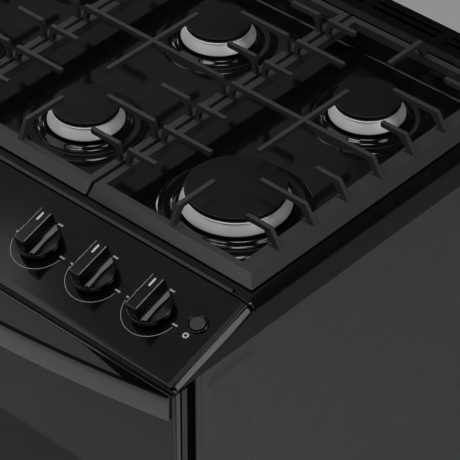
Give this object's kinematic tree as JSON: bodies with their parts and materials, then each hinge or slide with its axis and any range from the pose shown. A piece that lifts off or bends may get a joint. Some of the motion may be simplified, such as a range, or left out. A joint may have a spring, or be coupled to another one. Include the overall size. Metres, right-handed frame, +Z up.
{
  "type": "freestanding gas range",
  "caption": "Freestanding gas range with cast-iron grates over sealed burners, a sloping control panel, a drop-down oven door with a bowed handle, and a storage drawer.",
  "frame": {"origin": "centre of the footprint, on the floor", "axes": "+Z up, the front faces -Y, +X to the right seen from the front"},
  "size_m": [0.76, 0.704, 0.94],
  "materials": {
    "black_enamel": "high-gloss black enamel",
    "side_paint": "semi-matte dark grey paint",
    "galvanised_steel": "dull zinc-coated sheet",
    "oven_enamel": "speckled porcelain enamel",
    "burner_steel": "heat-dulled steel",
    "chrome_wire": "bright wire",
    "burner_aluminium": "satin cast aluminium",
    "cap_enamel": "matte black enamel",
    "cast_iron": "matte cast iron",
    "brass": "plain brass",
    "knob_plastic": "glossy black moulded plastic",
    "door_metal": "satin dark grey",
    "door_glass": "black printed glass",
    "rubber": "matte black"
  },
  "bodies": {
    "range": {"base_frame": "galvanised_steel", "foot_front_left": "rubber", "foot_front_right": "rubber", "foot_rear_left": "rubber", "foot_rear_right": "rubber", "side_panel_left": "side_paint", "side_panel_right": "side_paint", "back_panel": "galvanised_steel", "front_frame": "black_enamel", "oven_cavity": "oven_enamel", "oven_floor": "oven_enamel", "oven_burner": "burner_steel", "oven_rack_lower": "chrome_wire", "oven_rack_upper": "chrome_wire", "cooktop": "black_enamel", "rear_trim": "black_enamel", "burner_head_left_front": "burner_aluminium", "burner_head_left_rear": "burner_aluminium", "burner_head_centre_front": "burner_aluminium", "burner_head_centre_rear": "burner_aluminium", "burner_head_right_front": "burner_aluminium", "burner_head_right_rear": "burner_aluminium", "burner_cap_left_front": "cap_enamel", "burner_cap_left_rear": "cap_enamel", "burner_cap_centre_front": "cap_enamel", "burner_cap_centre_rear": "cap_enamel", "burner_cap_right_front": "cap_enamel", "burner_cap_right_rear": "cap_enamel", "control_panel": "black_enamel", "gas_manifold": "brass", "gas_supply_pipe": "galvanised_steel", "igniter_bezel": "knob_plastic", "door_hinge_left": "galvanised_steel", "door_hinge_right": "galvanised_steel"},
    "oven_door": {"door_frame": "door_metal", "door_glass": "door_glass", "door_liner": "oven_enamel", "door_inner_glass": "door_glass", "door_gasket": "rubber", "door_handle": "door_metal"},
    "drawer": {"drawer_front": "black_enamel", "drawer_box": "galvanised_steel"},
    "left_grate": {"grate_left": "cast_iron"},
    "centre_grate": {"grate_centre": "cast_iron"},
    "right_grate": {"grate_right": "cast_iron"},
    "button": {"igniter_button": "knob_plastic"},
    "valve_left_1": {"valve_stem_left_1": "brass"},
    "dial_left_1": {"knob_left_1": "knob_plastic"},
    "valve_left_2": {"valve_stem_left_2": "brass"},
    "dial_left_2": {"knob_left_2": "knob_plastic"},
    "valve_left_3": {"valve_stem_left_3": "brass"},
    "dial_left_3": {"knob_left_3": "knob_plastic"},
    "valve_oven": {"valve_stem_oven": "brass"},
    "dial_oven": {"knob_oven": "knob_plastic"},
    "valve_right_1": {"valve_stem_right_1": "brass"},
    "dial_right_1": {"knob_right_1": "knob_plastic"},
    "valve_right_2": {"valve_stem_right_2": "brass"},
    "dial_right_2": {"knob_right_2": "knob_plastic"},
    "valve_right_3": {"valve_stem_right_3": "brass"},
    "dial_right_3": {"knob_right_3": "knob_plastic"}
  },
  "joints": [
    {"name": "door_swing", "type": "hinge", "parent": "range", "child": "oven_door", "pos_m": [0, -0.298, 0.258], "axis": [1, 0, 0], "range_deg": [0, 90], "stiffness_Nm_per_rad": 15, "springref_deg": -17.19},
    {"name": "drawer_slide", "type": "slide", "parent": "range", "child": "drawer", "axis": [0, -1, 0], "range_m": [0, 0.4]},
    {"name": "left_grate_lift", "type": "slide", "parent": "range", "child": "left_grate", "axis": [0, 0, 1], "range_m": [0, 0.08]},
    {"name": "centre_grate_lift", "type": "slide", "parent": "range", "child": "centre_grate", "axis": [0, 0, 1], "range_m": [0, 0.08]},
    {"name": "right_grate_lift", "type": "slide", "parent": "range", "child": "right_grate", "axis": [0, 0, 1], "range_m": [0, 0.08]},
    {"name": "left_1_push", "type": "slide", "parent": "range", "child": "valve_left_1", "axis": [0, 0.3024, -0.9532], "range_m": [0, 0.003], "stiffness_N_per_m": 1500, "springref_m": -0.004},
    {"name": "left_1_turn", "type": "hinge", "parent": "valve_left_1", "child": "dial_left_1", "pos_m": [-0.2893, -0.24604, 0.88365], "axis": [0, -0.3024, 0.9532], "range_deg": [0, 270]},
    {"name": "left_2_push", "type": "slide", "parent": "range", "child": "valve_left_2", "axis": [0, 0.3024, -0.9532], "range_m": [0, 0.003], "stiffness_N_per_m": 1500, "springref_m": -0.004},
    {"name": "left_2_turn", "type": "hinge", "parent": "valve_left_2", "child": "dial_left_2", "pos_m": [-0.2052, -0.24604, 0.88365], "axis": [0, -0.3024, 0.9532], "range_deg": [0, 270]},
    {"name": "left_3_push", "type": "slide", "parent": "range", "child": "valve_left_3", "axis": [0, 0.3024, -0.9532], "range_m": [0, 0.003], "stiffness_N_per_m": 1500, "springref_m": -0.004},
    {"name": "left_3_turn", "type": "hinge", "parent": "valve_left_3", "child": "dial_left_3", "pos_m": [-0.1211, -0.24604, 0.88365], "axis": [0, -0.3024, 0.9532], "range_deg": [0, 270]},
    {"name": "oven_push", "type": "slide", "parent": "range", "child": "valve_oven", "axis": [0, 0.3024, -0.9532], "range_m": [0, 0.003], "stiffness_N_per_m": 1500, "springref_m": -0.004},
    {"name": "oven_turn", "type": "hinge", "parent": "valve_oven", "child": "dial_oven", "pos_m": [0, -0.24604, 0.88365], "axis": [0, -0.3024, 0.9532], "range_deg": [0, 270]},
    {"name": "right_1_push", "type": "slide", "parent": "range", "child": "valve_right_1", "axis": [0, 0.3024, -0.9532], "range_m": [0, 0.003], "stiffness_N_per_m": 1500, "springref_m": -0.004},
    {"name": "right_1_turn", "type": "hinge", "parent": "valve_right_1", "child": "dial_right_1", "pos_m": [0.1211, -0.24604, 0.88365], "axis": [0, -0.3024, 0.9532], "range_deg": [0, 270]},
    {"name": "right_2_push", "type": "slide", "parent": "range", "child": "valve_right_2", "axis": [0, 0.3024, -0.9532], "range_m": [0, 0.003], "stiffness_N_per_m": 1500, "springref_m": -0.004},
    {"name": "right_2_turn", "type": "hinge", "parent": "valve_right_2", "child": "dial_right_2", "pos_m": [0.2052, -0.24604, 0.88365], "axis": [0, -0.3024, 0.9532], "range_deg": [0, 270]},
    {"name": "right_3_push", "type": "slide", "parent": "range", "child": "valve_right_3", "axis": [0, 0.3024, -0.9532], "range_m": [0, 0.003], "stiffness_N_per_m": 1500, "springref_m": -0.004},
    {"name": "right_3_turn", "type": "hinge", "parent": "valve_right_3", "child": "dial_right_3", "pos_m": [0.2893, -0.24604, 0.88365], "axis": [0, -0.3024, 0.9532], "range_deg": [0, 270]},
    {"name": "igniter_press", "type": "slide", "parent": "range", "child": "button", "axis": [0, 0.3024, -0.9532], "range_m": [0, 0.002], "stiffness_N_per_m": 1500, "springref_m": -0.001}
  ]
}
